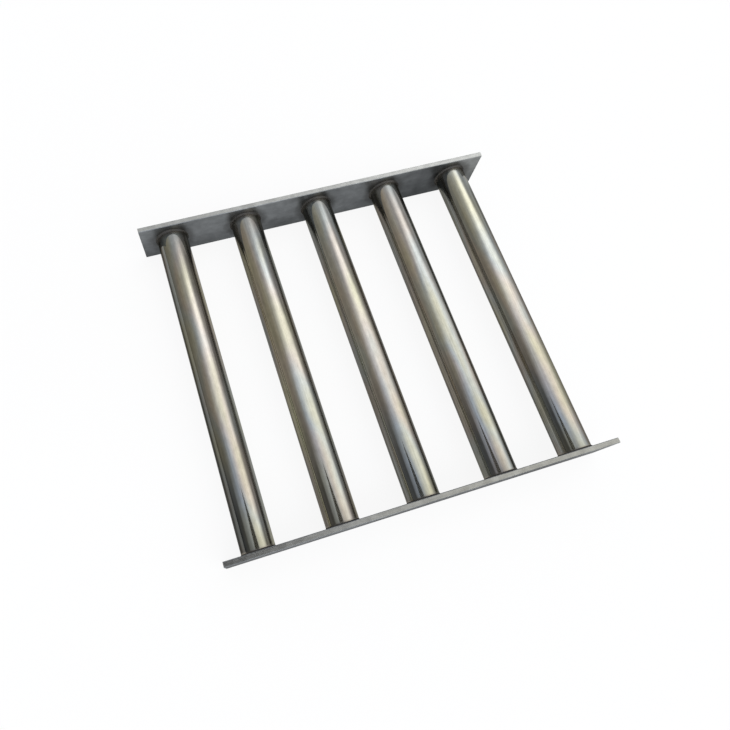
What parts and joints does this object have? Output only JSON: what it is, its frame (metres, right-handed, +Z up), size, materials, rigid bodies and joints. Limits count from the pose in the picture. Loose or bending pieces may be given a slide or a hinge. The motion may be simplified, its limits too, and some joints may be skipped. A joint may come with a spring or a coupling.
{
  "type": "magnetic grate separator",
  "caption": "Open grate of parallel polished magnetic tubes welded between two flat end plates; falling powder or granules pass between the tubes, which hold back iron.",
  "frame": {"origin": "middle of the grate's footprint, on the level that the lower edges of the two end plates stand on", "axes": "+X along the end plates, +Y along the tubes, +Z up, which is the way that the material falls from"},
  "size_m": [0.3, 0.268, 0.038],
  "materials": {
    "polished_tube": "polished stainless steel, drawn lengthwise",
    "plate_steel": "mill-finished stainless flat bar, satin",
    "weld_steel": "heat-tinted weld metal",
    "plug_steel": "turned stainless steel",
    "rod_steel": "drawn stainless rod",
    "pole_steel": "soft steel, turned",
    "magnet": "sintered magnet, nickel plated"
  },
  "bodies": {
    "root": {"end_plate_far": "plate_steel", "end_plate_near": "plate_steel", "tube_sleeve_1": "polished_tube", "tube_sleeve_2": "polished_tube", "tube_sleeve_3": "polished_tube", "tube_sleeve_4": "polished_tube", "tube_sleeve_5": "polished_tube", "end_plug_1_far": "plug_steel", "end_plug_1_near": "plug_steel", "end_plug_2_far": "plug_steel", "end_plug_2_near": "plug_steel", "end_plug_3_far": "plug_steel", "end_plug_3_near": "plug_steel", "end_plug_4_far": "plug_steel", "end_plug_4_near": "plug_steel", "end_plug_5_far": "plug_steel", "end_plug_5_near": "plug_steel", "core_rod_1": "rod_steel", "core_rod_2": "rod_steel", "core_rod_3": "rod_steel", "core_rod_4": "rod_steel", "core_rod_5": "rod_steel", "ring_magnets_1": "magnet", "ring_magnets_2": "magnet", "ring_magnets_3": "magnet", "ring_magnets_4": "magnet", "ring_magnets_5": "magnet", "pole_pieces_1": "pole_steel", "pole_pieces_2": "pole_steel", "pole_pieces_3": "pole_steel", "pole_pieces_4": "pole_steel", "pole_pieces_5": "pole_steel", "weld_bead_1_far": "weld_steel", "weld_bead_1_near": "weld_steel", "weld_bead_2_far": "weld_steel", "weld_bead_2_near": "weld_steel", "weld_bead_3_far": "weld_steel", "weld_bead_3_near": "weld_steel", "weld_bead_4_far": "weld_steel", "weld_bead_4_near": "weld_steel", "weld_bead_5_far": "weld_steel", "weld_bead_5_near": "weld_steel"}
  },
  "joints": []
}
